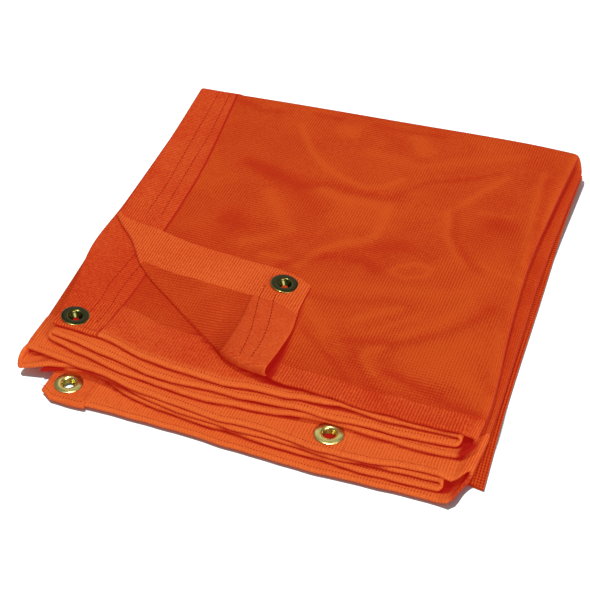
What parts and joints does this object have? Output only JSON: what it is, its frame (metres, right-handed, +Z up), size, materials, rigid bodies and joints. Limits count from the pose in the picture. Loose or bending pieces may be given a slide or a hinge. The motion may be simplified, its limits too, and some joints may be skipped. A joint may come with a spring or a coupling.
{
  "type": "folded mesh tarp",
  "caption": "Mesh tarp folded flat in layers, with ribbed hems, brass eyelets and a front corner turned back.",
  "frame": {"origin": "middle of the folded tarp's footprint, on the surface that it lies on", "axes": "+X along the front edge towards the folded right side, +Y towards the back fold, +Z up"},
  "size_m": [0.3558, 0.4072, 0.0344],
  "materials": {
    "mesh_cloth": "matt knitted mesh",
    "hem_cloth": "matt ribbed webbing",
    "brass": "polished, slightly aged"
  },
  "bodies": {
    "root": {"folded_cloth": "mesh_cloth", "turned_corner": "mesh_cloth", "hem_strip_bottom": "hem_cloth", "hem_strip_middle": "hem_cloth", "hem_strip_left": "hem_cloth", "eyelet_bottom": "brass", "eyelet_middle": "brass", "eyelet_left": "brass", "eyelet_flap": "brass", "washer_bottom": "brass", "washer_middle": "brass", "washer_left": "brass", "washer_flap": "brass"}
  },
  "joints": []
}
